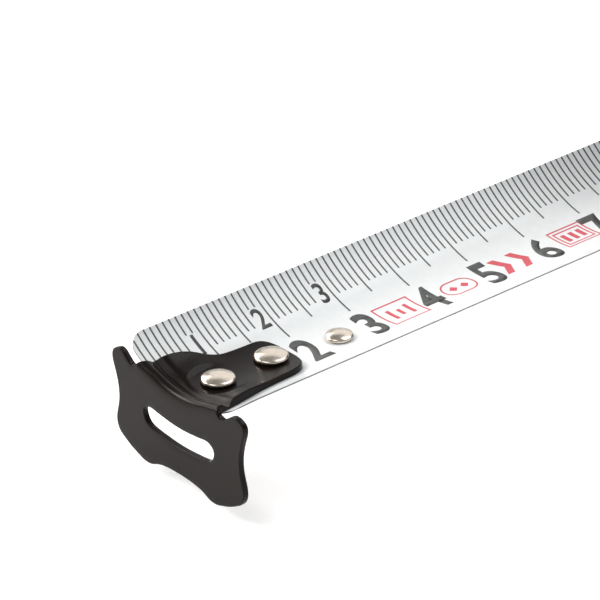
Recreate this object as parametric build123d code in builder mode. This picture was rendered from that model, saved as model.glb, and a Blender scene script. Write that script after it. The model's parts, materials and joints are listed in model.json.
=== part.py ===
from build123d import *
from math import asin, degrees, radians, sin, sqrt
import os

# Pocket tape measure, 8 m by 25 mm, with part of the blade drawn out of the case.
# Frame: origin at the centre of the case's bottom face, +Z up, blade drawn out towards -X.
# The blade's own frame has its zero at the scale's zero and its height on the centreline.

os.makedirs("parts", exist_ok=True)

# Blade
blade_width = 25.0  # along the curved section
blade_thickness = 0.15
section_radius = 16.53  # of the blade's upper face
zero_x = -138.0  # zero of the scale
blade_end = 0.3  # the blade starts this far behind the zero
blade_top = 12.65  # upper face on the centreline
leaf_gap = 0.05  # between nested leaves
lead_gap = 0.35  # under the lead, so that its flattening edges clear the leaves
half_angle = degrees(blade_width / 2 / section_radius)
axis_z = blade_top + section_radius  # axis of the blade's curved section
front_leaf_length = 84.0
splice_start = 82.0
splice_end = 122.0
lead_start = 120.0
corner_radius = 2.0

# Hook
plate_thickness = 0.8
plate_gap = 0.3  # between the plate and the blade's end at rest
tongue_thickness = 0.9
tongue_lift = 0.02  # running clearance of the tongue on the blade
fold_half_width = 8.7
fold_radius = 1.2
tip_radius = 4.75
tip_x = 17.3
hook_pull = 0.7  # slide outwards from rest
hook_push = 0.3  # slide inwards from rest
rivet_xs = (5.7, 14.15)
strip_rivet_place = (24.8, -0.5)
shank_radius = 1.2
head_radius = 2.2
strip_head_radius = 2.0
tail_radius = 1.8
tail_height = 0.5
strip_thickness = 0.25
strip_half_width = 4.5
strip_from = 1.5
strip_to = 27.0

# Case
case_length = 90.0
case_height = 83.5
shell_half_width = 20.0
case_half_width = 22.0
skin = 2.0  # rubber outside the shells
wall = 2.6
nose_height = 25.0
slope_foot = (-37.0, 31.0)
slope_head = (-22.0, case_height)
mouth_half_width = 13.4
mouth_low = 10.4
mouth_high = 19.2
screw_places = ((-24.0, 7.8), (32.5, 8.2), (34.0, 72.5), (-15.0, 74.5))
boss_radius = 2.8
screw_radius = 1.2
screw_head_radius = 2.3
screw_depth = 9.0  # thread in the left shell

# Reel
reel_x = 8.0
reel_z = 47.1
coil_inner = 22.0
coil_outer = 29.4
coil_turns = 12
flange_radius = 30.6
flange_thickness = 1.0
drum_half_width = 12.9
hub_radius = 6.0
running_clearance = 0.05
arbor_radius = 4.0
spring_turns = 12

# Lock
lock_travel = 6.0
brake_drop = 1.25

# Belt clip
clip_width = 22.0
clip_thickness = 1.0
clip_gap = 3.8
clip_head_radius = 2.6

slope = Vector(slope_head[0] - slope_foot[0], 0, slope_head[1] - slope_foot[1]).normalized()
outward = Vector(-slope.Z, 0, slope.X)


def front(along, depth):
    """A point on the front slope: distance up from its foot, and depth under the case's skin."""
    foot = Vector(slope_foot[0], 0, slope_foot[1])
    place = foot + slope * along - outward * depth
    return (place.X, place.Z)


def blade_plane(x):
    """Plane across the blade at a distance from the scale's zero; local axes are Y and height."""
    return Plane(origin=(zero_x + x, 0, blade_top), x_dir=(0, 1, 0), z_dir=(1, 0, 0))


def curved_strip(x, inner_radius, thickness, angle):
    """Section of a strip concentric with the blade."""
    centre = (0, section_radius)
    with BuildSketch(blade_plane(x)) as strip:
        with BuildLine():
            inner = CenterArc(centre, inner_radius, 270 - angle, 2 * angle)
            outer = CenterArc(centre, inner_radius + thickness, 270 - angle, 2 * angle)
            Line(inner @ 0, outer @ 0)
            Line(inner @ 1, outer @ 1)
        make_face()
    return strip.sketch


def case_outline(inset):
    """Side outline of the case, moved inwards by inset."""
    with BuildSketch(Plane.XZ) as side:
        with BuildLine():
            half = case_length / 2
            FilletPolyline(
                (-half, 0),
                (half, 0),
                (half, case_height),
                slope_head,
                slope_foot,
                (-half, nose_height),
                radius=[3, 12, 22, 14, 7, 4],
                close=True,
            )
        make_face()
        if inset:
            offset(amount=-inset)
    return side.sketch


def spiral(inner_radius, turns, pitch, thickness, half_width):
    """Flat spiral strip made of half turns about the reel's axis, clear of inner_radius."""
    step = pitch / 2
    start = inner_radius + step / 2
    with BuildPart() as coil:
        with BuildSketch(Plane.XZ):
            with BuildLine():
                for turn in range(2 * turns):
                    side = -step / 2 if turn % 2 == 0 else step / 2
                    centre = (reel_x + side, reel_z)
                    near = start + turn * step
                    inner = CenterArc(centre, near, 180 * turn, 180)
                    outer = CenterArc(centre, near + thickness, 180 * turn, 180)
                    if turn == 0:
                        Line(inner @ 0, outer @ 0)
                Line(inner @ 1, outer @ 1)
            make_face()
        extrude(amount=half_width, both=True)
    return coil


def side_plane(y):
    """Plane of the case's side at y, with local axes X and Z."""
    return Plane.XZ.offset(-y)


# ---- blade ----

with BuildPart() as blade:
    extrude(
        curved_strip(blade_end, section_radius, blade_thickness, half_angle),
        amount=front_leaf_length - blade_end,
    )
    with BuildSketch(Plane.XY):
        with Locations((zero_x + (blade_end + front_leaf_length) / 2, 0)):
            end = Rectangle(
                front_leaf_length - blade_end,
                2 * section_radius * sin(radians(half_angle)),
            )
        fillet(end.vertices().group_by(Axis.X)[0], corner_radius)
    extrude(amount=30, mode=Mode.INTERSECT)
    with Locations(*[(zero_x + x, 0, blade_top) for x in rivet_xs]):
        Cylinder(shank_radius, 2, mode=Mode.SUBTRACT)
    with Locations((zero_x + strip_rivet_place[0], strip_rivet_place[1], blade_top)):
        Cylinder(shank_radius, 2, mode=Mode.SUBTRACT)
blade.part.label = "blade"
export_step(blade.part, "parts/blade.step")

splice_inner = section_radius + blade_thickness + leaf_gap
with BuildPart() as blade_splice:
    extrude(
        curved_strip(splice_start, splice_inner, blade_thickness, half_angle),
        amount=splice_end - splice_start,
    )
blade_splice.part.label = "blade_splice"
export_step(blade_splice.part, "parts/blade_splice.step")

# the fixed stretch that flattens as it climbs to the coil
lead_inner = section_radius - lead_gap - blade_thickness
flat_top = reel_z - coil_outer - leaf_gap
with BuildPart() as blade_lead:
    curved = curved_strip(lead_start, lead_inner, blade_thickness, half_angle)
    with BuildSketch(Plane(origin=(reel_x, 0, flat_top), x_dir=(0, 1, 0), z_dir=(1, 0, 0))) as flat:
        Rectangle(blade_width, blade_thickness, align=(Align.CENTER, Align.MAX))
    loft([curved.face(), flat.sketch.face()], ruled=True)
blade_lead.part.label = "blade_lead"
export_step(blade_lead.part, "parts/blade_lead.step")

coil_pitch = (coil_outer - coil_inner) / (coil_turns + 1.5)
blade_coil = spiral(coil_inner, coil_turns, coil_pitch, coil_pitch * 0.9, blade_width / 2)
blade_coil.part.label = "blade_coil"
export_step(blade_coil.part, "parts/blade_coil.step")

strip_angle = degrees(asin(strip_half_width / section_radius))
with BuildPart() as backing_strip:
    extrude(
        curved_strip(strip_from, section_radius + blade_thickness, strip_thickness, strip_angle),
        amount=strip_to - strip_from,
    )
    with Locations(*[(zero_x + x, 0, blade_top) for x in rivet_xs]):
        Cylinder(shank_radius, 2, mode=Mode.SUBTRACT)
    with Locations((zero_x + strip_rivet_place[0], strip_rivet_place[1], blade_top)):
        Cylinder(shank_radius, 2, mode=Mode.SUBTRACT)
backing_strip.part.label = "backing_strip"
export_step(backing_strip.part, "parts/backing_strip.step")


def rivet(x, y, head_low, radius):
    """One rivet: tail under the strip, shank, and a low domed head that starts at head_low."""
    tail_top = -blade_thickness - strip_thickness
    rim = 0.38
    dome = 0.45
    with BuildPart() as one:
        with BuildSketch(Plane(origin=(zero_x + x, y, blade_top), x_dir=(1, 0, 0), z_dir=(0, -1, 0))):
            with BuildLine():
                Polyline(
                    (0, head_low + rim + dome),
                    (0, tail_top - tail_height),
                    (tail_radius - 0.3, tail_top - tail_height),
                    (tail_radius, tail_top - tail_height + 0.3),
                    (tail_radius, tail_top),
                    (shank_radius, tail_top),
                    (shank_radius, head_low),
                    (radius, head_low),
                    (radius, head_low + rim),
                )
                dome_radius = (radius**2 + dome**2) / (2 * dome)
                RadiusArc((radius, head_low + rim), (0, head_low + rim + dome), -dome_radius)
            make_face()
        revolve(axis=Axis((zero_x + x, y, 0), (0, 0, 1)))
    return one.part


hook_head_low = tongue_lift + tongue_thickness + 0.2
with BuildPart() as hook_rivets:
    for x in rivet_xs:
        add(rivet(x, 0, hook_head_low, head_radius))
hook_rivets.part.label = "hook_rivets"
export_step(hook_rivets.part, "parts/hook_rivets.step")

strip_head_low = 0.2
with BuildPart() as strip_rivet:
    add(rivet(*strip_rivet_place, strip_head_low, strip_head_radius))
strip_rivet.part.label = "strip_rivet"
export_step(strip_rivet.part, "parts/strip_rivet.step")

# ---- end hook ----

tongue_low = tongue_lift
tongue_high = tongue_lift + tongue_thickness
plate_in = blade_end - plate_gap
plate_out = plate_in - plate_thickness
section_axis = Axis((0, 0, axis_z), (1, 0, 0))
fold_angle = degrees(asin(fold_half_width / section_radius))
with BuildPart() as end_hook:
    # tongue and fold: an L swept round the blade's section
    with BuildSketch(Plane(origin=(zero_x, 0, blade_top), x_dir=(1, 0, 0), z_dir=(0, -1, 0))):
        with BuildLine():
            Polyline(
                (plate_out, -1),
                (plate_out, tongue_high),
                (tip_x + 1, tongue_high),
                (tip_x + 1, tongue_low),
                (plate_in, tongue_low),
                (plate_in, -1),
                close=True,
            )
        corner = make_face()
        fillet(corner.vertices().group_by(Axis.X)[0].sort_by(Axis.Y)[-1], fold_radius)
    revolve(axis=section_axis, revolution_arc=fold_angle)
    mirror(about=Plane.XZ)
    # plan outline: broad at the fold, waisted between the rivets, round tip
    with BuildSketch(Plane((zero_x, 0, 0))):
        with BuildLine():
            tip_centre = tip_x - tip_radius
            Polyline((plate_out - 1, 0), (plate_out - 1, fold_half_width), (0, fold_half_width))
            Line((0, fold_half_width), (4.4, 7.1))
            ThreePointArc((4.4, 7.1), (7.5, 5.5), (tip_centre - 1.5, tip_radius))
            Line((tip_centre - 1.5, tip_radius), (tip_centre, tip_radius))
            RadiusArc((tip_centre, tip_radius), (tip_x, 0), tip_radius)
            mirror(about=Plane.XZ)
        make_face()
    extrude(amount=30, mode=Mode.INTERSECT)
    # front plate: ears, waist, lower corners and a hollow bottom edge
    with BuildSketch(blade_plane(plate_out)):
        with BuildLine():
            top = section_radius - sqrt((section_radius + 0.6) ** 2 - 8.9**2)
            ThreePointArc((0, -0.6), (4.5, section_radius - sqrt((section_radius + 0.6) ** 2 - 4.5**2)), (8.9, top))
            Line((8.9, top), (9.3, 2.65))
            Line((9.3, 2.65), (11.2, 3.75))
            RadiusArc((11.2, 3.75), (13.2, 1.8), 2.0)
            ThreePointArc((13.2, 1.8), (12.1, -3.0), (12.7, -7.0))
            Line((12.7, -7.0), (12.4, -8.3))
            Line((12.4, -8.3), (11.4, -9.1))
            Line((11.4, -9.1), (6.4, -11.1))
            ThreePointArc((6.4, -11.1), (3.4, -10.2), (0, -9.9))
            mirror(about=Plane.YZ)
        make_face()
        with BuildLine():
            ThreePointArc((-5.6, -2.7), (0, -3.5), (5.6, -2.7))
            ThreePointArc((5.6, -2.7), (6.8, -4.0), (5.6, -5.3))
            ThreePointArc((5.6, -5.3), (0, -6.1), (-5.6, -5.3))
            ThreePointArc((-5.6, -5.3), (-6.8, -4.0), (-5.6, -2.7))
        make_face(mode=Mode.SUBTRACT)
    extrude(amount=plate_thickness)
    # slotted rivet holes give the hook its slide
    slot_radius = shank_radius + 0.1
    slot_shift = (hook_pull - hook_push) / 2
    with BuildSketch(Plane.XY.offset(blade_top - 1)):
        with Locations(*[(zero_x + x + slot_shift, 0) for x in rivet_xs]):
            SlotOverall(2 * slot_radius + hook_pull + hook_push, 2 * slot_radius)
    extrude(amount=4, mode=Mode.SUBTRACT)
end_hook.part.label = "end_hook"
export_step(end_hook.part, "parts/end_hook.step")

# ---- reel ----


def flange(low_y, high_y):
    """Disc with a bearing bore and five round windows."""
    with BuildPart() as disc:
        with BuildSketch(side_plane(low_y)):
            with Locations((reel_x, reel_z)):
                Circle(flange_radius)
                Circle(hub_radius + running_clearance, mode=Mode.SUBTRACT)
                with PolarLocations(13.5, 5, start_angle=90):
                    Circle(3.6, mode=Mode.SUBTRACT)
        extrude(amount=low_y - high_y)
    return disc.part


with BuildPart() as drum:
    add(flange(-drum_half_width - flange_thickness, -drum_half_width))
    with BuildSketch(side_plane(-drum_half_width)):
        with Locations((reel_x, reel_z)):
            Circle(coil_inner - 0.05)
            Circle(coil_inner - 1.6, mode=Mode.SUBTRACT)
    extrude(amount=-2 * drum_half_width)
drum.part.label = "drum"
export_step(drum.part, "parts/drum.step")

with BuildPart() as drum_cover:
    add(flange(drum_half_width, drum_half_width + flange_thickness))
drum_cover.part.label = "drum_cover"
export_step(drum_cover.part, "parts/drum_cover.step")

arbor_half = 15.0
with BuildPart() as arbor:
    with BuildSketch(side_plane(arbor_half)):
        with Locations((reel_x, reel_z)):
            Circle(arbor_radius)
    extrude(amount=2 * arbor_half)
    # the spring's inner end hooks into this slot
    with Locations((reel_x + arbor_radius - 1, 0, reel_z)):
        Box(3, 24, 0.8, mode=Mode.SUBTRACT)
    # threaded end for the clip's screw
    with BuildSketch(side_plane(arbor_half)):
        with Locations((reel_x, reel_z)):
            Circle(screw_radius)
    extrude(amount=10, mode=Mode.SUBTRACT)
arbor.part.label = "arbor"
export_step(arbor.part, "parts/arbor.step")

spring_pitch = (coil_inner - 2.3 - arbor_radius) / (spring_turns + 1.5)
power_spring = spiral(arbor_radius + 0.1, spring_turns, spring_pitch, 0.45, 11.5)
power_spring.part.label = "power_spring"
export_step(power_spring.part, "parts/power_spring.step")

# ---- case ----

lock_slot_half = 4.2
boss_tip = 12.0
seat_depth = 15.0


def shell(side):
    """One half shell: side is -1 for the left and +1 for the right."""
    inner_y = side * (shell_half_width - wall)
    with BuildPart() as half:
        extrude(case_outline(skin), amount=-side * shell_half_width)
        rim = half.edges().filter_by_position(Axis.Y, *sorted((side * 19.99, side * 20.01)))
        fillet(rim, 1.5)
        extrude(case_outline(skin + wall), amount=-inner_y, mode=Mode.SUBTRACT)
        # bearing boss for the reel, with a seat for the arbor
        with BuildSketch(side_plane(inner_y)):
            with Locations((reel_x, reel_z)):
                Circle(8.5)
        extrude(amount=side * (abs(inner_y) - 14.1))
        with BuildSketch(side_plane(inner_y)):
            with Locations((reel_x, reel_z)):
                Circle(hub_radius)
        extrude(amount=side * (abs(inner_y) - boss_tip))
        with BuildSketch(side_plane(side * seat_depth)):
            with Locations((reel_x, reel_z)):
                Circle(arbor_radius)
        extrude(amount=side * (seat_depth - boss_tip + 1), mode=Mode.SUBTRACT)
        # screw bosses, kept inside the outline
        with BuildSketch(side_plane(inner_y)):
            with Locations(*screw_places):
                Circle(boss_radius)
        extrude(amount=side * abs(inner_y))
        # ribs under the mouth guide
        for x in (-40.2, -32.0):
            with Locations((x, side * 8.5, 7.4)):
                Box(1.6, 17.0, 6.4)
        with BuildSketch(side_plane(0)):
            with Locations(*screw_places):
                Circle(screw_radius)
        extrude(amount=-side * (screw_depth if side < 0 else shell_half_width), mode=Mode.SUBTRACT)
        # mouth
        with Locations((-case_length / 2, 0, (mouth_low + mouth_high) / 2)):
            Box(12, 2 * mouth_half_width, mouth_high - mouth_low, mode=Mode.SUBTRACT)
        # slot for the thumb lock's neck
        with Locations(Plane(origin=(front(25, 3)[0], 0, front(25, 3)[1]), x_dir=(0, 1, 0), z_dir=outward)):
            Box(2 * lock_slot_half, 18, 8, mode=Mode.SUBTRACT)
    return half


left = shell(-1)
with BuildPart() as case_left:
    add(left.part)
    # recess for the badge
    with BuildSketch(side_plane(-shell_half_width)):
        with Locations((reel_x, reel_z)):
            Circle(17.05)
    extrude(amount=-0.8, mode=Mode.SUBTRACT)
case_left.part.label = "case_left"
export_step(case_left.part, "parts/case_left.step")

head_seat = shell_half_width - 1.4
right = shell(1)
with BuildPart() as case_right:
    add(right.part)
    # counterbores for the screw heads
    with BuildSketch(side_plane(shell_half_width + 1)):
        with Locations(*screw_places):
            Circle(screw_head_radius + 0.15)
    extrude(amount=shell_half_width + 1 - head_seat, mode=Mode.SUBTRACT)
    # hole for the clip's screw
    with BuildSketch(side_plane(shell_half_width + 1)):
        with Locations((reel_x, reel_z)):
            Circle(screw_radius)
    extrude(amount=shell_half_width + 1 - arbor_half, mode=Mode.SUBTRACT)
case_right.part.label = "case_right"
export_step(case_right.part, "parts/case_right.step")


def grip(side):
    """Rubber skin over one shell: round the back, the top and the slope, with a side ring."""
    with BuildPart() as rubber:
        extrude(case_outline(0), amount=-side * case_half_width)
        rim = rubber.edges().filter_by_position(Axis.Y, *sorted((side * 21.99, side * 22.01)))
        fillet(rim, 3)
        extrude(case_outline(skin), amount=-side * shell_half_width, mode=Mode.SUBTRACT)
        extrude(case_outline(10), amount=-side * (case_half_width + 1), mode=Mode.SUBTRACT)
        Box(200, 0.2, 200, mode=Mode.SUBTRACT)
        # the nose and the bottom stay bare
        with Locations((-case_length / 2, 0, 0)):
            Box(22, 60, 2 * slope_foot[1] + 2, mode=Mode.SUBTRACT)
        Box(200, 60, 12, mode=Mode.SUBTRACT)
        # room for the thumb lock
        with Locations(Plane(origin=(front(26, 0)[0], 0, front(26, 0)[1]), x_dir=(0, 1, 0), z_dir=outward)):
            Box(19, 40, 4.2, mode=Mode.SUBTRACT)
        # grip grooves across the back
        for z in range(22, 58, 4):
            with Locations((case_length / 2, 0, z)):
                Box(1.6, 60, 1.5, mode=Mode.SUBTRACT)
    return rubber


grip_left = grip(-1)
grip_left.part.label = "grip_left"
export_step(grip_left.part, "parts/grip_left.step")

grip_right = grip(1)
grip_right.part.label = "grip_right"
export_step(grip_right.part, "parts/grip_right.step")

with BuildPart() as base_pad:
    with BuildSketch(Plane.XY):
        RectangleRounded(66, 34, 4)
    extrude(amount=skin)
    fillet(base_pad.edges().group_by(Axis.Z)[0], 0.6)
base_pad.part.label = "base_pad"
export_step(base_pad.part, "parts/base_pad.step")

with BuildPart() as nose_bumper:
    with BuildSketch(Plane.YZ.offset(-case_length / 2)):
        with Locations((0, 13.6)):
            RectangleRounded(37, 20.4, 3)
        with Locations((0, (mouth_low + mouth_high) / 2)):
            RectangleRounded(2 * mouth_half_width, mouth_high - mouth_low, 1, mode=Mode.SUBTRACT)
    extrude(amount=skin)
    fillet(nose_bumper.faces().sort_by(Axis.X)[0].outer_wire().edges(), 0.8)
nose_bumper.part.label = "nose_bumper"
export_step(nose_bumper.part, "parts/nose_bumper.step")

guide_length = 12.6
guide_start = -42.8
with BuildPart() as mouth_guide:
    with BuildSketch(Plane.YZ.offset(guide_start)):
        with Locations((0, 10.6)):
            Rectangle(25.8, 7.6, align=(Align.CENTER, Align.MIN))
        with Locations((0, 11.4)):
            Rectangle(24.2, 8, align=(Align.CENTER, Align.MIN), mode=Mode.SUBTRACT)
    extrude(amount=guide_length)
mouth_guide.part.label = "mouth_guide"
export_step(mouth_guide.part, "parts/mouth_guide.step")

with BuildPart() as case_screws:
    for x, z in screw_places:
        with BuildSketch(side_plane(head_seat)):
            with Locations((x, z)):
                Circle(screw_radius)
        extrude(amount=head_seat + screw_depth)
        with BuildSketch(side_plane(head_seat)):
            with Locations((x, z)):
                Circle(screw_head_radius)
        extrude(amount=-1.2)
        # cross recess
        for size in ((2.6, 1.6, 0.6), (0.6, 1.6, 2.6)):
            with Locations((x, head_seat + 1.2, z)):
                Box(*size, mode=Mode.SUBTRACT)
case_screws.part.label = "case_screws"
export_step(case_screws.part, "parts/case_screws.step")

with BuildPart() as badge:
    with BuildSketch(side_plane(-shell_half_width)):
        with Locations((reel_x, reel_z)):
            Circle(17)
    extrude(amount=-0.8)
    with BuildSketch(side_plane(-shell_half_width)):
        with Locations((reel_x, reel_z)):
            Circle(17)
            Circle(15.8, mode=Mode.SUBTRACT)
    extrude(amount=0.5)
badge.part.label = "badge"
export_step(badge.part, "parts/badge.step")

# ---- belt clip ----

clip_screw_z = reel_z
clip_in = shell_half_width
clip_out = shell_half_width + clip_gap + clip_thickness
bend_radius = (clip_out - clip_in) / 2
clip_top = 68.0
with BuildPart() as belt_clip:
    with BuildSketch(Plane.YZ.offset(reel_x)):
        with BuildLine():
            middle = clip_thickness / 2
            Line((clip_in + middle, 38), (clip_in + middle, clip_top))
            bend = RadiusArc(
                (clip_in + middle, clip_top),
                (clip_out - middle, clip_top),
                bend_radius - middle,
            )
            Line(bend @ 1, (clip_out - middle, 26))
            Line((clip_out - middle, 26), (clip_out - middle + 1.6, 20))
        trace(line_width=clip_thickness)
    extrude(amount=clip_width / 2, both=True)
    # screw hole in the inner leg, and the driver's hole in the outer one
    for y, radius in ((clip_in + clip_thickness, screw_radius), (clip_out, clip_head_radius + 0.6)):
        with BuildSketch(side_plane(y)):
            with Locations((reel_x, clip_screw_z)):
                Circle(radius)
        extrude(amount=clip_thickness, mode=Mode.SUBTRACT)
belt_clip.part.label = "belt_clip"
export_step(belt_clip.part, "parts/belt_clip.step")

with BuildPart() as clip_screw:
    with BuildSketch(side_plane(clip_in + clip_thickness)):
        with Locations((reel_x, clip_screw_z)):
            Circle(screw_radius)
    extrude(amount=clip_in + clip_thickness - 6)
    with BuildSketch(side_plane(clip_in + clip_thickness)):
        with Locations((reel_x, clip_screw_z)):
            Circle(clip_head_radius)
    extrude(amount=-1.1)
clip_screw.part.label = "clip_screw"
export_step(clip_screw.part, "parts/clip_screw.step")

# ---- thumb lock and brake ----

lock_plane_place = front(25, skin)
lock_plane = Plane(
    origin=(lock_plane_place[0], 0, lock_plane_place[1]), x_dir=(0, 1, 0), z_dir=outward
)
button_length = 17.0
button_width = 14.0
button_height = 4.2
lift = 0.15  # sliding clearance on the shell
neck_length = 10.0
with BuildPart() as lock_button:
    with BuildSketch(lock_plane.offset(lift)):
        with Locations((0, -lock_travel / 2)):
            RectangleRounded(button_width, button_length, 3)
    extrude(amount=button_height)
    fillet(lock_button.faces().sort_by(Axis(lock_plane.origin, outward))[-1].edges(), 1.2)
    # thumb ridges
    for step in range(-2, 3):
        with BuildSketch(lock_plane.offset(lift + button_height)):
            with Locations((0, -lock_travel / 2 + 2.6 * step)):
                Rectangle(button_width - 3, 1.0)
        extrude(amount=-0.7, mode=Mode.SUBTRACT)
lock_button.part.label = "lock_button"
export_step(lock_button.part, "parts/lock_button.step")

carriage_depth = wall + 0.2
carriage_thickness = 1.6
leg_back_top = (-29.4, 34.0)
leg_fall = Vector(-lock_travel * slope.X, 0, brake_drop - lock_travel * slope.Z).normalized()
with BuildPart() as lock_slider:
    with BuildSketch(lock_plane.offset(lift)):
        with Locations((0, -lock_travel / 2)):
            Rectangle(2 * lock_slot_half - 0.4, neck_length)
    extrude(amount=-lift - carriage_depth)
    with BuildSketch(lock_plane.offset(-carriage_depth)):
        with Locations((0, -lock_travel / 2)):
            Rectangle(11, 24)
    extrude(amount=-carriage_thickness)
    # leg with a wedge back, down to the brake's stem
    with BuildSketch(Plane.XZ):
        with BuildLine():
            depth = skin + carriage_depth
            foot = front(-2.5, depth)
            drop = (foot[1] - leg_back_top[1]) / leg_fall.Z
            wedge = (leg_back_top[0] + leg_fall.X * drop, foot[1])
            Polyline(
                front(20, depth),
                foot,
                wedge,
                leg_back_top,
                front(20, depth + carriage_thickness),
                close=True,
            )
        make_face()
    extrude(amount=3.5, both=True)
lock_slider.part.label = "lock_slider"
export_step(lock_slider.part, "parts/lock_slider.step")

shoe_front = -40.0
shoe_length = 9.0
pad_thickness = 1.0
pad_radius = section_radius - leaf_gap
shoe_axis = section_radius + brake_drop
shoe_top = 21.3
wedge_gap = 0.2
relief_half = 8.0
with BuildPart() as brake_shoe:
    with BuildSketch(Plane(origin=(shoe_front, 0, blade_top), x_dir=(0, 1, 0), z_dir=(1, 0, 0))):
        with Locations((0, 0)):
            Rectangle(22, shoe_top - blade_top, align=(Align.CENTER, Align.MIN))
        with Locations((0, shoe_axis)):
            Circle(pad_radius - pad_thickness, mode=Mode.INTERSECT)
        with Locations((0, 0)):
            Rectangle(2 * relief_half, 5.6, align=(Align.CENTER, Align.MIN), mode=Mode.SUBTRACT)
    extrude(amount=shoe_length)
    # stem, with a face that the lock's wedge slides down
    with BuildSketch(Plane.XZ):
        with BuildLine():
            face_top = (leg_back_top[0] + wedge_gap, leg_back_top[1])
            low_z = shoe_top - 1
            fall = (low_z + 4 - face_top[1]) / leg_fall.Z
            face_low = (face_top[0] + leg_fall.X * fall, low_z + 4)
            Polyline(
                face_top,
                face_low,
                (face_low[0], low_z),
                (shoe_front + shoe_length, low_z),
                (shoe_front + shoe_length, low_z + 4),
                (-27.2, 30),
                (-27.2, face_top[1]),
                close=True,
            )
        make_face()
    extrude(amount=3.5, both=True)
brake_shoe.part.label = "brake_shoe"
export_step(brake_shoe.part, "parts/brake_shoe.step")

with BuildPart() as brake_pads:
    pad_low = degrees(asin((relief_half + 0.2) / pad_radius))
    pad_high = degrees(asin(11.0 / pad_radius))
    with BuildSketch(Plane(origin=(shoe_front, 0, blade_top), x_dir=(0, 1, 0), z_dir=(1, 0, 0))):
        for low, high in ((270 + pad_low, 270 + pad_high), (270 - pad_high, 270 - pad_low)):
            with BuildLine():
                inner = CenterArc((0, shoe_axis), pad_radius - pad_thickness, low, high - low)
                outer = CenterArc((0, shoe_axis), pad_radius, low, high - low)
                Line(inner @ 0, outer @ 0)
                Line(inner @ 1, outer @ 1)
            make_face()
    extrude(amount=shoe_length)
brake_pads.part.label = "brake_pads"
export_step(brake_pads.part, "parts/brake_pads.step")
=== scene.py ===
import json
import math

import bpy
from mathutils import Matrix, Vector

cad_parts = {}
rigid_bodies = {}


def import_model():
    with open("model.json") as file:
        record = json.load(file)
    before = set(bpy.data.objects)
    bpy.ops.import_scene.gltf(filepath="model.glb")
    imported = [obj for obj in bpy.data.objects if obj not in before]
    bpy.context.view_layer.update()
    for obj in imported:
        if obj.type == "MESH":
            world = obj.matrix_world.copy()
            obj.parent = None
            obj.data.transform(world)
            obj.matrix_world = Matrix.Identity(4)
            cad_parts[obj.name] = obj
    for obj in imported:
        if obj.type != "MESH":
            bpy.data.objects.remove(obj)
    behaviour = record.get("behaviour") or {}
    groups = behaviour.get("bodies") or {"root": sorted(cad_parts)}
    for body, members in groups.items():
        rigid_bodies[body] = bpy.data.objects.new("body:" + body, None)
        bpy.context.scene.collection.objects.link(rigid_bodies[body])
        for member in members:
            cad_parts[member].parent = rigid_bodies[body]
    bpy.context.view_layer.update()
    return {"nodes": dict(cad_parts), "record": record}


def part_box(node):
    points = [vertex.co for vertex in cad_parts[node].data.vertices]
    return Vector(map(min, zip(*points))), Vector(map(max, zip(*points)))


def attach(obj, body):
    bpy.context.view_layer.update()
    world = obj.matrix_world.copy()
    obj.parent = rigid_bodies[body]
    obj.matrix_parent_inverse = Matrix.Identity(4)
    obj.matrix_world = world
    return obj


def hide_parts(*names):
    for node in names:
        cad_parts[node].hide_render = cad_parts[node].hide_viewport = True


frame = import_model()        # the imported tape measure, in metres

mm = 0.001
bodyOfNode = {}
for bodyName, members in frame["record"]["behaviour"]["bodies"].items():
    for member in members:
        bodyOfNode[member] = bodyName
slotOfNode = {entry["node"]: entry["material_slot"] for entry in frame["record"]["subparts"]}

# the blade's own frame: zero of its scale, height from its upper face on the centreline
bladeForm = {
    "thickness": 0.15 * mm,
    "radius": 16.53 * mm,      # of the curved section's upper face
    "width": 25.0 * mm,
    "cornerRadius": 2.4 * mm,
    "endFromZero": 0.3 * mm,
    "cornerSegments": 10,
    "cutsAcross": 44,
    "nestGap": 0.05 * mm,       # between the front leaf and the one nested under it
    "hookClearance": 0.06 * mm,     # left at the end, for the hook's plate when it is pushed in
    "smoothAngle": 40,
}
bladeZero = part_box("blade")[0].x - bladeForm["endFromZero"]
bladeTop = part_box("blade")[0].z + bladeForm["thickness"]


def deselectAll():
    if bpy.context.object and bpy.context.object.mode == "EDIT":
        bpy.ops.object.mode_set(mode="OBJECT")
    for obj in bpy.context.view_layer.objects:
        obj.select_set(False)


def selectOnly(obj):
    deselectAll()
    obj.select_set(True)
    bpy.context.view_layer.objects.active = obj


def applyTransform(obj):
    selectOnly(obj)
    bpy.ops.object.transform_apply(location=True, rotation=True, scale=True)


def applyModifier(obj, kind, **settings):
    selectOnly(obj)
    modifier = obj.modifiers.new(kind.title(), kind)
    for key, value in settings.items():
        setattr(modifier, key, value)
    bpy.ops.object.modifier_apply(modifier=modifier.name)


def joinAll(objects, name):
    deselectAll()
    for obj in objects:
        obj.select_set(True)
    bpy.context.view_layer.objects.active = objects[0]
    if len(objects) > 1:
        bpy.ops.object.join()
    objects[0].name = name
    objects[0].data.name = name
    return objects[0]


def editAll(obj):
    selectOnly(obj)
    bpy.ops.object.mode_set(mode="EDIT")
    bpy.ops.mesh.select_all(action="SELECT")


def leaveEdit():
    bpy.ops.object.mode_set(mode="OBJECT")


def sliceMesh(obj, axis, places):
    # cuts right through at each place, so that the mesh can follow a curve
    normal = [0, 0, 0]
    normal[axis] = 1
    editAll(obj)
    for place in places:
        point = [0, 0, 0]
        point[axis] = place
        bpy.ops.mesh.select_all(action="SELECT")
        bpy.ops.mesh.bisect(plane_co=point, plane_no=normal)
    leaveEdit()


def tidyMesh(obj, angle, merge=1e-6):
    editAll(obj)
    bpy.ops.mesh.remove_doubles(threshold=merge)
    bpy.ops.mesh.normals_make_consistent(inside=False)
    leaveEdit()
    selectOnly(obj)
    bpy.ops.object.shade_smooth_by_angle(angle=math.radians(angle))


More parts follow.
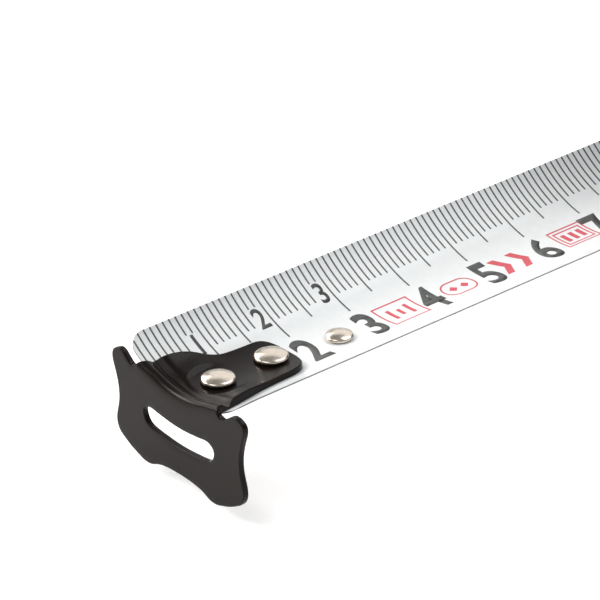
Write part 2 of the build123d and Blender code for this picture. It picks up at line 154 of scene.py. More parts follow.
def finishPiece(obj, material, body, replaced=()):
    applyTransform(obj)
    obj.data.materials.clear()
    obj.data.materials.append(material)
    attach(obj, body)
    if replaced:
        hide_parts(*replaced)


def rollOntoBlade(obj):
    # x stays, y is the distance round the curve, z the height above the blade's upper face
    radius = bladeForm["radius"]
    for vertex in obj.data.vertices:
        across = vertex.co.y / radius
        reach = radius - vertex.co.z
        vertex.co.y = reach * math.sin(across)
        vertex.co.z = bladeTop + radius - reach * math.cos(across)
    obj.data.update()


def newMaterial(name, **sockets):
    material = bpy.data.materials.new(name)
    material.use_nodes = True
    shader = material.node_tree.nodes["Principled BSDF"]
    for socket, value in sockets.items():
        shader.inputs[socket.replace("_", " ")].default_value = value
    return material, material.node_tree, shader


def objectNoise(tree, scale, detail, stretch=(1, 1, 1)):
    nodes, links = tree.nodes, tree.links
    coordinate = nodes.new("ShaderNodeTexCoord")
    mapping = nodes.new("ShaderNodeMapping")
    mapping.inputs["Scale"].default_value = stretch
    noise = nodes.new("ShaderNodeTexNoise")
    noise.inputs["Scale"].default_value = scale
    noise.inputs["Detail"].default_value = detail
    links.new(coordinate.outputs["Object"], mapping.inputs["Vector"])
    links.new(mapping.outputs["Vector"], noise.inputs["Vector"])
    return noise


def rampBetween(tree, source, low, high):
    # noise stays near its middle, so the ramp's ends are drawn in
    ramp = tree.nodes.new("ShaderNodeValToRGB")
    for element, position, colour in zip(ramp.color_ramp.elements, (0.3, 0.7), (low, high)):
        element.position = position
        element.color = colour
    tree.links.new(source, ramp.inputs["Fac"])
    return ramp


def roughnessBetween(tree, source, low, high):
    spread = tree.nodes.new("ShaderNodeMapRange")
    spread.inputs["To Min"].default_value = low
    spread.inputs["To Max"].default_value = high
    tree.links.new(source, spread.inputs["Value"])
    return spread


def addBump(tree, shader, source, strength, distance):
    bump = tree.nodes.new("ShaderNodeBump")
    bump.inputs["Strength"].default_value = strength
    bump.inputs["Distance"].default_value = distance
    tree.links.new(source, bump.inputs["Height"])
    tree.links.new(bump.outputs["Normal"], shader.inputs["Normal"])


# how each finish is grained: its two tints, the grain's scale and detail, gloss from and to, bump
finishForm = {
    "bladeLacquer": {"tints": ((0.775, 0.815, 0.84), (0.815, 0.85, 0.87)), "grain": 900, "detail": 2,
                     "gloss": (0.28, 0.4), "bump": 0.08, "bumpDepth": 0.02 * mm},
    "blackCoat": {"tints": ((0.006, 0.0042, 0.0038), (0.010, 0.007, 0.006)), "grain": 5200, "detail": 3,
                  "gloss": (0.2, 0.28), "patches": 320, "bump": 0.25, "bumpDepth": 0.02 * mm},
    "brightNickel": {"tints": ((0.64, 0.57, 0.49), (0.70, 0.63, 0.54)), "grain": 1500, "detail": 3,
                     "gloss": (0.17, 0.25), "bump": 0.05, "bumpDepth": 0.03 * mm},
    "softRubber": {"tints": ((0.016, 0.016, 0.017), (0.028, 0.028, 0.030)), "grain": 2600, "detail": 3,
                   "gloss": (0.6, 0.78), "bump": 0.45, "bumpDepth": 0.08 * mm},
    "ink": {"shade": 0.85, "grain": 2500, "detail": 2, "gloss": (0.35, 0.5)},
    "steel": {"shade": 0.8, "grain": 900, "detail": 4, "gloss": (0.22, 0.42), "bump": 0.15,
              "bumpDepth": 0.03 * mm},
    "plastic": {"shade": 0.86, "grain": 1800, "detail": 2, "gloss": (0.42, 0.58), "bump": 0.3,
                "bumpDepth": 0.06 * mm},
}


def grainedFinish(name, form, stretch=(1, 1, 1), **sockets):
    material, tree, shader = newMaterial(name, **sockets)
    grain = objectNoise(tree, form["grain"], form["detail"], stretch)
    low, high = form["tints"]
    tint = rampBetween(tree, grain.outputs["Fac"], (*low, 1), (*high, 1))
    tree.links.new(tint.outputs["Color"], shader.inputs["Base Color"])
    glossSource = grain
    if "patches" in form:      # the gloss varies in wider patches than the tint
        glossSource = objectNoise(tree, form["patches"], 2)
    gloss = roughnessBetween(tree, glossSource.outputs["Fac"], *form["gloss"])
    tree.links.new(gloss.outputs["Result"], shader.inputs["Roughness"])
    if "bump" in form:
        addBump(tree, shader, grain.outputs["Fac"], form["bump"], form["bumpDepth"])
    return material


def shadedFinish(name, kind, colour, stretch=(1, 1, 1), changes=None, **sockets):
    # one colour and a darker shade of it
    form = {**finishForm[kind], **(changes or {})}
    form["tints"] = (tuple(channel * form["shade"] for channel in colour), colour)
    return grainedFinish(name, form, stretch, **sockets)


def brushedSteel(name, colour, stretch=(1, 1, 1), changes=None):
    return shadedFinish(name, "steel", colour, stretch, changes, Metallic=1.0)


finishes = {
    "shell_plastic": shadedFinish("shellPlastic", "plastic", (0.10, 0.11, 0.12)),
    "grip_rubber": grainedFinish("softRubber", finishForm["softRubber"], Sheen_Weight=0.25,
                                 Sheen_Roughness=0.5),
    "blade_paint": grainedFinish("bladeLacquer", finishForm["bladeLacquer"], Coat_Weight=0.35,
                                 Coat_Roughness=0.12),
    "hook_black": grainedFinish("blackCoat", finishForm["blackCoat"], Specular_IOR_Level=0.12),
    "nickel": grainedFinish("brightNickel", finishForm["brightNickel"], Metallic=1.0),
    "spring_steel": brushedSteel("springSteel", (0.42, 0.43, 0.45), (1, 0.05, 1)),
    "clip_steel": brushedSteel("clipSteel", (0.62, 0.62, 0.61), (1, 1, 0.05)),
    "screw_steel": brushedSteel("screwSteel", (0.10, 0.10, 0.11)),
    "reel_plastic": shadedFinish("reelPlastic", "plastic", (0.035, 0.035, 0.038)),
    "lock_plastic": shadedFinish("lockPlastic", "plastic", (0.46, 0.035, 0.03),
                                 changes={"gloss": (0.36, 0.5)}),
    "badge_metal": brushedSteel("badgeMetal", (0.60, 0.61, 0.62), (4, 4, 4), {"bump": 0.02}),
}
inkDark = shadedFinish("inkDark", "ink", (0.062, 0.066, 0.066))
inkRed = shadedFinish("inkRed", "ink", (0.66, 0.075, 0.105))
shearedEdge = brushedSteel("shearedEdge", (0.32, 0.325, 0.33))
print("materials ready")


cameraView = {
    "place": (-251.96 * mm, -330.68 * mm, 240.73 * mm),   # from the blade's zero
    "aim": (27.57 * mm, 10.50 * mm, 0.0),
    "roll": -1.36,      # degrees
    "lens": 236.09,     # with a 36 mm sensor
    "sensor": 36.0,
    "clip": (0.01, 50),
}


def makeCamera():
    origin = Vector((bladeZero, 0, bladeTop))
    place = origin + Vector(cameraView["place"])
    aim = origin + Vector(cameraView["aim"])
    bpy.ops.object.camera_add(location=place)
    camera = bpy.context.object
    camera.name = "camera"
    camera.data.sensor_width = cameraView["sensor"]
    camera.data.lens = cameraView["lens"]
    turn = (aim - place).to_track_quat("-Z", "Y")
    camera.rotation_euler = turn.to_euler()
    camera.rotation_euler.rotate_axis("Z", math.radians(cameraView["roll"]))
    camera.data.clip_start, camera.data.clip_end = cameraView["clip"]
    bpy.context.scene.camera = camera


stageForm = {
    "floorSize": 8,
    "floorTints": ((0.93, 0.93, 0.93, 1), (0.95, 0.95, 0.95, 1)),
    "floorGlow": 0.32,
    "worldStrength": 0.3,
    "lightTarget": 30 * mm,     # along the blade from its zero
}
lightPlan = (
    # name, place from the target, width, height, power, colour
    ("highLeftBox", (-0.62, 0.05, 1.0), 0.62, 0.62, 3.1, (1.0, 0.985, 0.965)),
    ("crestBox", (-0.55, 0.78, 0.62), 0.4, 0.36, 5.6, (1.0, 0.94, 0.86)),      # lights the hook's fold
    ("highRightBox", (0.62, -0.1, 0.95), 0.7, 0.7, 4.8, (1.0, 0.99, 0.98)),
    ("backStrip", (-0.28, 1.0, 0.56), 1.5, 0.75, 9.6, (1.0, 0.95, 0.9)),
    ("backRightBox", (0.9, 0.8, 0.72), 1.0, 1.0, 2.8, (1.0, 0.98, 0.96)),
)


def makeStage():
    bpy.ops.mesh.primitive_plane_add(size=stageForm["floorSize"], location=(0, 0, 0))
    floor = bpy.context.object
    floor.name = "floor"
    material, tree, shader = newMaterial("paleFloor", Roughness=0.7, Specular_IOR_Level=0.1,
                                         Emission_Color=(1, 1, 1, 1),
                                         Emission_Strength=stageForm["floorGlow"])
    cloud = objectNoise(tree, 3, 2)
    tint = rampBetween(tree, cloud.outputs["Fac"], *stageForm["floorTints"])
    tree.links.new(tint.outputs["Color"], shader.inputs["Base Color"])
    floor.data.materials.append(material)

    world = bpy.data.worlds.new("studio")
    bpy.context.scene.world = world
    world.use_nodes = True
    background = world.node_tree.nodes["Background"]
    background.inputs["Color"].default_value = (1, 1, 1, 1)
    background.inputs["Strength"].default_value = stageForm["worldStrength"]

    target = Vector((bladeZero + stageForm["lightTarget"], 0, bladeTop))
    for name, place, width, height, power, colour in lightPlan:
        bpy.ops.object.light_add(type="AREA", location=target + Vector(place))
        light = bpy.context.object
        light.name = name
        light.data.shape = "RECTANGLE"
        light.data.size = width
        light.data.size_y = height
        light.data.energy = power
        light.data.color = colour
        light.rotation_euler = (-Vector(place)).to_track_quat("-Z", "Y").to_euler()
    bpy.context.scene.view_settings.view_transform = "Standard"


makeCamera()
makeStage()
print("camera and light ready")


def makeLeaf(name, start, end, lift, roundEnd, replaced):
    width = bladeForm["width"]
    bpy.ops.mesh.primitive_plane_add(size=1, location=((start + end) / 2, 0, lift))
    leaf = bpy.context.object
    leaf.scale = (end - start, width, 1)
    applyTransform(leaf)
    if roundEnd:
        for vertex in leaf.data.vertices:
            vertex.select = vertex.co.x < start + mm
        for edge in leaf.data.edges:
            edge.select = False
        bpy.ops.object.mode_set(mode="EDIT")
        bpy.ops.mesh.select_mode(type="VERT")
        bpy.ops.mesh.bevel(offset=bladeForm["cornerRadius"], offset_type="OFFSET",
                           affect="VERTICES", segments=bladeForm["cornerSegments"])
        leaveEdit()
    cuts = bladeForm["cutsAcross"]
    sliceMesh(leaf, 1, [width * (step / cuts - 0.5) for step in range(1, cuts)])
    applyModifier(leaf, "SOLIDIFY", thickness=bladeForm["thickness"], offset=-1)
    sheared = [face.index for face in leaf.data.polygons if abs(face.normal.z) < 0.5]
    rollOntoBlade(leaf)
    tidyMesh(leaf, bladeForm["smoothAngle"])
    leaf.name = name
    leaf.data.name = name
    finishPiece(leaf, finishes["blade_paint"], bodyOfNode[replaced], [replaced])
    leaf.data.materials.append(shearedEdge)
    for index in sheared:
        leaf.data.polygons[index].material_index = 1


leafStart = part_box("blade")[0].x + bladeForm["hookClearance"]
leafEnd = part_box("blade")[1].x
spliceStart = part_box("blade_splice")[0].x
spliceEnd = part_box("blade_splice")[1].x
spliceLift = -bladeForm["thickness"] - bladeForm["nestGap"]
makeLeaf("frontLeaf", leafStart, leafEnd, 0, True, "blade")
makeLeaf("nestedLeaf", spliceStart, spliceEnd, spliceLift, False, "blade_splice")
print("blade leaves ready")

scalePrint = {
    "inkHeight": 0.012 * mm,
    "lift": 0.004 * mm,
    "lineWidth": 0.23 * mm,
    "lineSteps": 12,            # along a mark, so that it follows the curve
    "millimetre": 5.7 * mm,
    "half": 7.4 * mm,
    "centimetre": 9.0 * mm,
    "cutShort": 2.9 * mm,       # the two ticks beside a small digit
    "smallDigits": 3,
    "bigHeight": 6.3 * mm,
    "bigCentre": -0.6 * mm,
    "bigNarrow": 0.77,
    "bigWeight": 0.027,
    "smallHeight": 3.3 * mm,
    "smallCentre": 7.8 * mm,
    "smallShift": 1.4 * mm,     # ahead of its centimetre tick
    "smallNarrow": 0.78,
    "smallWeight": 0.016,
    "digitStep": 0.5 * mm,      # height of the strips that a digit is cut into
}


def tickLength(millimetre):
    if millimetre % 10 == 0:
        return scalePrint["centimetre"]
    if millimetre % 5 == 0:
        return scalePrint["half"]
    if millimetre % 10 >= 8 and millimetre < 10 * scalePrint["smallDigits"]:
        return scalePrint["cutShort"]
    return scalePrint["millimetre"]


def layInk(obj, material, body):
    applyModifier(obj, "SOLIDIFY", thickness=scalePrint["inkHeight"], offset=1)
    rollOntoBlade(obj)
    editAll(obj)
    bpy.ops.mesh.normals_make_consistent(inside=False)
    leaveEdit()
    finishPiece(obj, material, body)


def printTicks(name, first, last, lift, body):
    farEdge = bladeForm["width"] / 2
    steps = scalePrint["lineSteps"]
    bpy.ops.mesh.primitive_grid_add(x_subdivisions=1, y_subdivisions=steps, size=1)
    ticks = bpy.context.object
    ticks.name = name
    bpy.ops.object.mode_set(mode="EDIT")
    bpy.ops.mesh.delete(type="VERT")
    for millimetre in range(first, last + 1):
        # the first ticks stop at the round of the blade's corner
        fromEnd = bladeZero + millimetre * mm - scalePrint["lineWidth"] / 2 - leafStart
        cut = max(bladeForm["cornerRadius"] - fromEnd, 0)
        inset = bladeForm["cornerRadius"] - math.sqrt(bladeForm["cornerRadius"] ** 2 - cut ** 2)
        length = tickLength(millimetre) - inset
        centre = (bladeZero + millimetre * mm, farEdge - inset - length / 2, lift)
        bpy.ops.mesh.primitive_grid_add(x_subdivisions=1, y_subdivisions=steps, size=1, location=centre)
        bpy.ops.transform.resize(value=(scalePrint["lineWidth"], length, 1), center_override=centre)
        bpy.ops.mesh.select_all(action="DESELECT")
    leaveEdit()
    layInk(ticks, inkDark, body)


def makeDigit(text, height, place, narrow, weight):
    # one digit as a flat mesh of exactly this height, centred on its place
    bpy.ops.object.text_add(location=(0, 0, 0))
    digit = bpy.context.object
    digit.data.body = text
    digit.data.offset = weight
    digit.data.resolution_u = 6
    bpy.ops.object.convert(target="MESH")
    low, high = digit.bound_box[0], digit.bound_box[6]
    scale = height / (high[1] - low[1])
    digit.scale = (scale * narrow, scale, 1)
    digit.location = (place[0] - scale * narrow * (low[0] + high[0]) / 2,
                      place[1] - scale * (low[1] + high[1]) / 2, place[2])
    applyTransform(digit)
    steps = max(4, round(height / scalePrint["digitStep"]))
    sliceMesh(digit, 1, [place[1] + height * (step / steps - 0.5) for step in range(1, steps)])
    return digit


def printDigits(name, big, small, lift, body):
    digits = []
    for number in big:
        place = (bladeZero + number * 10 * mm, scalePrint["bigCentre"], lift)
        digits.append(makeDigit(str(number), scalePrint["bigHeight"], place,
                                scalePrint["bigNarrow"], scalePrint["bigWeight"]))
    for number in small:
        place = (bladeZero + number * 10 * mm - scalePrint["smallShift"], scalePrint["smallCentre"], lift)
        digits.append(makeDigit(str(number), scalePrint["smallHeight"], place,
                                scalePrint["smallNarrow"], scalePrint["smallWeight"]))
    layInk(joinAll(digits, name), inkDark, body)


printTicks("frontTicks", 1, 83, scalePrint["lift"], "blade")
printTicks("nestedTicks", 85, 121, spliceLift + scalePrint["lift"], "splice")
printDigits("frontDigits", range(2, 9), range(1, 4), scalePrint["lift"], "blade")
printDigits("nestedDigits", range(9, 12), [], spliceLift + scalePrint["lift"], "splice")
print("scale printed")

# plain red blocks and frames in the places of a blade's approval print, with no lettering
redPrint = {
    "line": 0.24 * mm,
    "frames": ((32.1, 38.0, -3.1, 2.1, 0.0), (42.3, 47.6, -2.3, 1.3, 1.7),
               (62.7, 68.5, -2.5, 2.3, 0.0), (63.3, 67.9, -1.9, 1.7, 0.0)),    # x, x, y, y, rounding
    "bars": ((33.7, -0.5, 0.55, 2.6), (35.1, -0.5, 0.55, 1.6), (36.5, -0.5, 0.55, 2.6),
             (64.3, -0.1, 0.7, 2.0), (65.6, -0.1, 0.7, 2.0), (66.9, -0.1, 0.7, 2.0)),
    "diamonds": ((44.0, -0.5, 0.95), (45.9, -0.5, 0.95)),
    "chevrons": ((52.9, -0.4), (56.0, -0.4)),
    "chevronWidth": 1.15 * mm,
    "chevronHeight": 4.4 * mm,
    "chevronPoint": 1.2 * mm,
    "chevronShift": -0.6 * mm,      # half of its point
    "roundSegments": 8,
    "cutsAcross": [step * 0.5 * mm for step in range(-7, 6)],
    "lift": scalePrint["lift"] - 0.001 * mm,     # just under the black print
}


def flatPatch(x, y, width, height, lift):
    bpy.ops.mesh.primitive_plane_add(size=1, location=(bladeZero + x * mm, y * mm, lift))
    patch = bpy.context.object
    patch.scale = (width, height, 1)
    applyTransform(patch)
    return patch


def printFrame(west, east, south, north, rounding, lift):
    frameMark = flatPatch((west + east) / 2, (south + north) / 2, (east - west) * mm,
                          (north - south) * mm, lift)
    editAll(frameMark)
    if rounding:
        bpy.ops.mesh.bevel(offset=rounding * mm, offset_type="OFFSET", affect="VERTICES",
                           segments=redPrint["roundSegments"])
        bpy.ops.mesh.select_all(action="SELECT")
    bpy.ops.mesh.inset(thickness=redPrint["line"], depth=0)
    bpy.ops.mesh.delete(type="FACE")
    leaveEdit()
    return frameMark


def printChevron(x, y, lift):
    bpy.ops.mesh.primitive_grid_add(x_subdivisions=1, y_subdivisions=2, size=1)
    chevron = bpy.context.object
    for vertex in chevron.data.vertices:
        point = redPrint["chevronPoint"] if abs(vertex.co.y) < 0.1 else 0
        vertex.co.x = vertex.co.x * redPrint["chevronWidth"] + point + redPrint["chevronShift"]
        vertex.co.x += bladeZero + x * mm
        vertex.co.y = vertex.co.y * redPrint["chevronHeight"] + y * mm
        vertex.co.z = lift
    return chevron


def printRedMarks(lift):
    marks = []
    for mark in redPrint["frames"]:
        marks.append(printFrame(*mark, lift))
    for x, y, width, height in redPrint["bars"]:
        marks.append(flatPatch(x, y, width * mm, height * mm, lift))
    for x, y, size in redPrint["diamonds"]:
        diamond = flatPatch(x, y, size * mm, size * mm, lift)
        editAll(diamond)
        bpy.ops.transform.rotate(value=math.radians(45), orient_axis="Z",
                                 center_override=(bladeZero + x * mm, y * mm, lift))
        leaveEdit()
        marks.append(diamond)
    for x, y in redPrint["chevrons"]:
        marks.append(printChevron(x, y, lift))
    redMarks = joinAll(marks, "redMarks")
    sliceMesh(redMarks, 1, redPrint["cutsAcross"])
    layInk(redMarks, inkRed, "blade")


printRedMarks(redPrint["lift"])
print("red marks printed")

# the hook is pressed from one flat blank: tongue on the blade, fold, front plate
hookForm = {
    "thickness": 0.8 * mm,
    "edgeRound": 0.16 * mm,
    "lift": 0.03 * mm,           # running clearance on the blade
    "insideRadius": 0.05 * mm,
    # each point: distance or half width, half width or height, and how far its corner is cut back
    "tongueFar": ((17.1, 0, 0), (17.1, 4.3, 4.2), (12.0, 4.4, 2.2), (8.8, 4.7, 2.8),
                  (5.9, 7.2, 3.0), (0.8, 7.7, 1.5)),
    "tongueNear": ((17.1, 0, 0), (17.1, 4.9, 4.4), (8.6, 5.3, 4.0), (4.8, 6.5, 2.0), (0.8, 7.5, 1.5)),
    "plateFar": ((8.2, 2.0, 0.5), (9.2, 1.85, 0.45), (11.1, 3.55, 0.8)),
    "plateNear": ((7.9, 1.9, 0.5), (8.7, 1.6, 0.45), (11.0, 3.3, 1.0)),
    "plateSide": ((13.3, 2.5, 1.7), (11.5, -2.9, 5.0), (12.75, -7.2, 1.3), (12.0, -8.95, 0.9),
                  (6.5, -11.4, 1.7), (3.6, -9.9, 3.4), (0, -9.9, 0)),
    "slot": ((0, -3.4, 4.0), (5.9, -2.6, 1.0), (7.1, -3.6, 1.0), (6.3, -5.4, 1.1), (0, -6.15, 4.0),
             (-6.3, -5.4, 1.1), (-7.1, -3.6, 1.0), (-5.9, -2.6, 1.0)),
    "rivetHoles": (5.9, 14.35),
    "holeRadius": 1.3 * mm,
    "holeSlide": 0.5 * mm,
    "holeSides": 32,
    "cornerSteps": 8,
    # the embossing, with the distances between which each part of it fades
    "crestHeight": 0.62 * mm,
    "crestFade": (0.2 * mm, 1.3 * mm),
    "crestReach": (5.0 * mm, 9.2 * mm),    # half widths
    "foldFade": (-0.5 * mm, 0.5 * mm),
    "grooveDepth": 0.5 * mm,
    "groovePlace": 1.6 * mm,
    "grooveSpread": 0.6 * mm,
    "dishPlace": 5.7 * mm,
    "dishEdge": (3.1 * mm, 4.2 * mm),
    "dishFromGroove": (1.6 * mm, 3.6 * mm),
    "dishFade": (5 * mm, 10 * mm),
    "dishRise": 0.3 * mm,
    # cuts, so that the flat blank can be bent and pressed
    "foldCuts": 8,
    "plateCuts": 16,
    "pressedLength": 5.2 * mm,
    "pressedCuts": 26,
    "tongueCuts": 16,
    "crossCuts": [step * 0.6 * mm for step in range(-22, 23)],
    "smoothAngle": 50,
}
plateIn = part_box("end_hook")[0].x + hookForm["thickness"] - bladeZero
bendCentre = plateIn + hookForm["insideRadius"]
bendLow = hookForm["lift"] - hookForm["insideRadius"]
bendMiddle = hookForm["insideRadius"] + hookForm["thickness"] / 2
bendLength = bendMiddle * math.pi / 2


def bladeRise(y):
    return bladeForm["radius"] - math.sqrt(max(bladeForm["radius"] ** 2 - y * y, 0))


def softStep(value, low, high):
    part = min(max((value - low) / (high - low), 0), 1)
    return part * part * (3 - 2 * part)


def roundChain(points, closed):
    # every corner of the chain is cut back by its third value and rounded
    rounded = []
    count = len(points)
    for index, (first, second, cut) in enumerate(points):
        here = Vector((first, second)) * mm
        if cut == 0 or (not closed and index in (0, count - 1)):
            rounded.append(here)
            continue
        before = Vector(points[index - 1][:2]) * mm
        after = Vector(points[(index + 1) % count][:2]) * mm
        # a neighbour that is rounded too takes half of the run between them
        roomBefore = 0.5 if points[index - 1][2] else 0.98
        roomAfter = 0.5 if points[(index + 1) % count][2] else 0.98
        start = here + (before - here).normalized() * min(cut * mm, (before - here).length * roomBefore)
        stop = here + (after - here).normalized() * min(cut * mm, (after - here).length * roomAfter)
        for step in range(hookForm["cornerSteps"] + 1):
            t = step / hookForm["cornerSteps"]
            rounded.append(start * (1 - t) ** 2 + here * 2 * t * (1 - t) + stop * t * t)
    return rounded


def unrollPlate(point):
    # from half width and height on the plate to the flat blank
    depth = bladeRise(point.x) - point.y
    return Vector((bendCentre - bendLength - depth - bendLow, point.x))


def halfOutline(side):
    half = roundChain(hookForm["tongue" + side], False)
    plate = roundChain(hookForm["plate" + side] + hookForm["plateSide"], False)
    return half + [unrollPlate(point) for point in plate]


def drawBlank():
    nearHalf = [Vector((point.x, -point.y)) for point in halfOutline("Near")]
    loops = [halfOutline("Far") + list(reversed(nearHalf[1:-1]))]
    loops.append([unrollPlate(point) for point in roundChain(hookForm["slot"], True)])
    for place in hookForm["rivetHoles"]:
        hole = []
        for step in range(hookForm["holeSides"]):
            angle = 2 * math.pi * (step + 0.5) / hookForm["holeSides"]
            slide = math.copysign(hookForm["holeSlide"], math.cos(angle))
            hole.append(Vector((place * mm + slide + hookForm["holeRadius"] * math.cos(angle),
                                hookForm["holeRadius"] * math.sin(angle))))
        loops.append(hole)
    outline = bpy.data.curves.new("hookBlank", "CURVE")
    outline.dimensions = "2D"
    outline.fill_mode = "BOTH"
    for loop in loops:
        spline = outline.splines.new("POLY")
        spline.points.add(len(loop) - 1)
        for point, place in zip(spline.points, loop):
            point.co = (place.x, place.y, 0, 1)
        spline.use_cyclic_u = True
    edge = hookForm["edgeRound"]
    outline.extrude = hookForm["thickness"] / 2 - edge
    outline.bevel_depth = edge
    outline.bevel_resolution = 3
    outline.offset = -edge
    blank = bpy.data.objects.new("pressedHook", outline)
    bpy.context.scene.collection.objects.link(blank)
    selectOnly(blank)
    bpy.ops.object.convert(target="MESH")
    return bpy.context.object


def embossing(x, y, w):
    # crest along the fold, the groove behind it and the dished seat of the first rivet
    form = hookForm
    fade = softStep(w, *form["foldFade"])
    crest = form["crestHeight"] * (1 - softStep(x, *form["crestFade"]))
    crest *= 1 - softStep(abs(y), *form["crestReach"])
    groove = form["grooveDepth"] * math.exp(-((x - form["groovePlace"]) / form["grooveSpread"]) ** 2)
    shoulder = softStep(math.hypot(x - form["dishPlace"], y), *form["dishEdge"])
    shoulder *= 1 - softStep(x, *form["dishFade"])
    shoulder *= softStep(x, *form["dishFromGroove"])
    return fade * (crest - groove + form["dishRise"] * shoulder)


def pressHook(blank):
    thickness = hookForm["thickness"]
    for vertex in blank.data.vertices:
        u, y = vertex.co.x, vertex.co.y
        h = vertex.co.z + thickness / 2
        slope = y / bladeForm["radius"]
        upright = 0.0
        if u >= bendCentre:
            x = u
            w = hookForm["lift"] + h
        elif u > bendCentre - bendLength:
            turn = (bendCentre - u) / bendMiddle
            upright = softStep(turn, 0, math.pi / 2)
            x = bendCentre - (hookForm["insideRadius"] + h) * math.sin(turn)
            w = bendLow + (hookForm["insideRadius"] + h) * math.cos(turn)
        else:
            upright = 1.0
            x = plateIn - h
            w = bendLow - (bendCentre - bendLength - u)
        lift = embossing(x, y, w) * h / thickness
        rise = math.sqrt(1 - slope * slope)
        vertex.co.x = bladeZero + x
        vertex.co.y = y - (w + lift) * slope * (1 - upright)
        vertex.co.z = bladeTop + bladeRise(y) + (w + lift) * (rise * (1 - upright) + upright)
    blank.data.update()


def cutsBetween(start, end, count):
    # evenly spaced, without the start
    return [start + (end - start) * step / count for step in range(1, count + 1)]


def makeHook():
    blank = drawBlank()
    low = min(vertex.co.x for vertex in blank.data.vertices)
    high = max(vertex.co.x for vertex in blank.data.vertices)
    fold = bendCentre - bendLength
    pressedEnd = bendCentre + hookForm["pressedLength"]
    cuts = [bendCentre] + cutsBetween(bendCentre, fold, hookForm["foldCuts"])
    cuts += cutsBetween(low, fold, hookForm["plateCuts"])[:-1]
    cuts += cutsBetween(bendCentre, pressedEnd, hookForm["pressedCuts"])
    cuts += cutsBetween(pressedEnd, high, hookForm["tongueCuts"])[:-1]
    sliceMesh(blank, 0, cuts)
    sliceMesh(blank, 1, hookForm["crossCuts"])
    pressHook(blank)
    tidyMesh(blank, hookForm["smoothAngle"])
    blank.name = "pressedHook"
    finishPiece(blank, finishes["hook_black"], "hook", ["end_hook"])


makeHook()
print("hook pressed")

rivetForm = {
    "places": ((5.7, 0.0), (14.15, 0.0)),
    "headRadius": 2.2 * mm,
    "headLow": 1.12 * mm,
    "stripPlace": (24.8, -0.5),
    "stripHeadRadius": 1.82 * mm,
    "stripHeadLow": 0.2 * mm,
    "rimHeight": 0.2 * mm,       # upright part of the head's side
    "rimBevel": (0.12 * mm, 0.1 * mm),
    "shoulder": 0.3 * mm,        # radius that rounds the rim into the dome
    "shoulderTurn": 62,
    "shoulderSteps": 5,
    "domeTop": 0.83 * mm,        # above the head's lower face
    "domeSteps": 10,
    "tailRound": 0.3 * mm,
    "shankRadius": 1.2 * mm,
    "tailRadius": 1.8 * mm,
    "tailLow": -0.9 * mm,
    "tailTop": -0.4 * mm,
    "segments": 56,
    "smoothAngle": 40,
    "mergeDistance": 1e-7,
}


def rivetRings(headRadius, headLow):
    # radius and height of each ring, from the middle of the tail to the top of the dome
    form = rivetForm
    bevelIn, bevelUp = form["rimBevel"]
    rimTop = headLow + form["rimHeight"]
    rings = [(form["tailRadius"] - form["tailRound"], form["tailLow"]),
             (form["tailRadius"], form["tailLow"] + form["tailRound"]),
             (form["tailRadius"], form["tailTop"]),
             (form["shankRadius"], form["tailTop"]),
             (form["shankRadius"], headLow),
             (headRadius - bevelIn, headLow),
             (headRadius, headLow + bevelUp),
             (headRadius, rimTop)]
    for step in range(1, form["shoulderSteps"] + 1):
        angle = math.radians(form["shoulderTurn"]) * step / form["shoulderSteps"]
        rings.append((headRadius - form["shoulder"] * (1 - math.cos(angle)),
                      rimTop + form["shoulder"] * math.sin(angle)))
    domeRadius, domeLow = rings[-1]
    domeRise = headLow + form["domeTop"] - domeLow
    for step in range(1, form["domeSteps"]):
        inward = 1 - step / form["domeSteps"]
        rings.append((domeRadius * inward, domeLow + domeRise * (1 - inward ** 2)))
    return rings


def turnRivet(x, y, headRadius, headLow):
    rings = rivetRings(headRadius, headLow)
    place = Vector((bladeZero + x * mm, y * mm, bladeTop))
    radius, height = rings[0]
    bpy.ops.mesh.primitive_circle_add(vertices=rivetForm["segments"], radius=radius,
                                      fill_type="NGON", location=place + Vector((0, 0, height)))
    rivet = bpy.context.object
    applyTransform(rivet)
    editAll(rivet)
    for nextRadius, nextHeight in rings[1:]:
        move = (0, 0, nextHeight - height)
        bpy.ops.mesh.extrude_region_move(TRANSFORM_OT_translate={"value": move})
        scale = nextRadius / radius
        centre = place + Vector((0, 0, nextHeight))
        bpy.ops.transform.resize(value=(scale, scale, 1), center_override=centre)
        radius, height = nextRadius, nextHeight
    bpy.ops.mesh.poke()
    leaveEdit()
    return rivet


def setRivets():
    form = rivetForm
    pair = [turnRivet(x, y, form["headRadius"], form["headLow"]) for x, y in form["places"]]
    hookPair = joinAll(pair, "hookRivets")
    tidyMesh(hookPair, form["smoothAngle"], form["mergeDistance"])
    finishPiece(hookPair, finishes["nickel"], "blade", ["hook_rivets"])
    strip = turnRivet(*form["stripPlace"], form["stripHeadRadius"], form["stripHeadLow"])
    strip.name = "stripRivet"
    tidyMesh(strip, form["smoothAngle"], form["mergeDistance"])
    finishPiece(strip, finishes["nickel"], "blade", ["strip_rivet"])


setRivets()
print("rivets set")

badgeForm = {
    "rings": ((16.4, 0.0), (16.8, 0.3), (16.8, 0.95), (16.6, 1.2), (16.2, 1.3), (15.3, 1.3),
              (15.0, 1.15), (14.9, 0.85)),      # radius and height from the recess
    "grooveFrom": 14.5,
    "grooveTo": 4.5,
    "groovePitch": 0.5,
    "grooveDepth": 0.035,
    "boss": ((4.1, 0.85), (3.9, 1.1), (3.4, 1.2), (1.2, 1.25)),
    "segments": 96,
    "smoothAngle": 30,
}


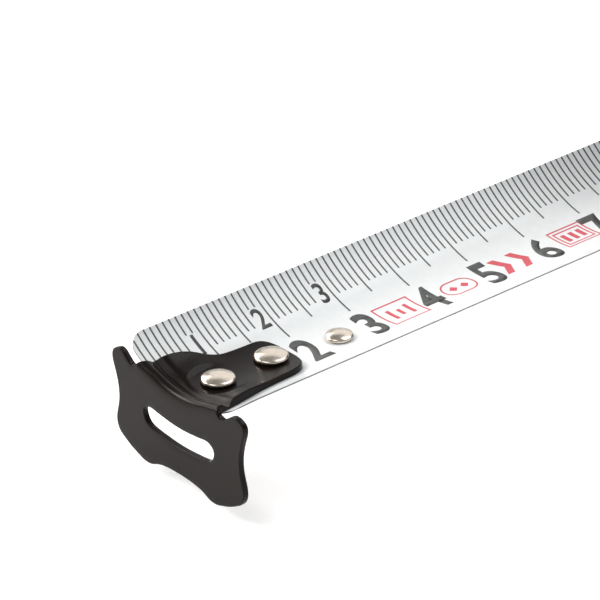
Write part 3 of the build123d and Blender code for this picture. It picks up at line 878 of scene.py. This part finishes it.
def turnBadge():
    # turned facing up at the origin, then stood against the side of the case
    form = badgeForm
    rings = list(form["rings"])
    count = int((form["grooveFrom"] - form["grooveTo"]) / form["groovePitch"])
    for step in range(count + 1):
        dip = form["grooveDepth"] if step % 2 else 0
        rings.append((form["grooveFrom"] - step * form["groovePitch"], form["rings"][-1][1] - dip))
    rings += list(form["boss"])
    radius, height = rings[0]
    bpy.ops.mesh.primitive_circle_add(vertices=form["segments"], radius=radius * mm, fill_type="NGON")
    badge = bpy.context.object
    editAll(badge)
    for nextRadius, nextHeight in rings[1:]:
        move = (0, 0, (nextHeight - height) * mm)
        bpy.ops.mesh.extrude_region_move(TRANSFORM_OT_translate={"value": move})
        scale = nextRadius / radius
        bpy.ops.transform.resize(value=(scale, scale, 1), center_override=(0, 0, nextHeight * mm))
        radius, height = nextRadius, nextHeight
    bpy.ops.mesh.poke()
    leaveEdit()
    low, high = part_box("badge")
    badge.rotation_euler = (math.pi / 2, 0, 0)
    badge.location = ((low.x + high.x) / 2, high.y, (low.z + high.z) / 2)
    applyTransform(badge)
    tidyMesh(badge, form["smoothAngle"])
    badge.name = "turnedBadge"
    finishPiece(badge, finishes["badge_metal"], bodyOfNode["badge"], ["badge"])


turnBadge()
print("badge turned")

# every other carried-over piece: a merged, smooth copy of its CAD node
handMade = {"blade", "blade_splice", "end_hook", "hook_rivets", "strip_rivet", "badge"}
copyForm = {
    "mergeDistance": 1e-6,
    "smoothAngle": 32,
    "normalWeight": 80,
}


def refineNode(node):
    source = frame["nodes"][node]
    copy = bpy.data.objects.new(node + "_piece", source.data.copy())
    bpy.context.scene.collection.objects.link(copy)
    copy.data.materials.clear()
    editAll(copy)
    bpy.ops.mesh.remove_doubles(threshold=copyForm["mergeDistance"])
    leaveEdit()
    selectOnly(copy)
    bpy.ops.object.shade_smooth_by_angle(angle=math.radians(copyForm["smoothAngle"]))
    applyModifier(copy, "WEIGHTED_NORMAL", keep_sharp=True, weight=copyForm["normalWeight"])
    finishPiece(copy, finishes[slotOfNode[node]], bodyOfNode[node], [node])


for node in sorted(frame["nodes"]):
    if node not in handMade:
        refineNode(node)
print("case and inner pieces ready")
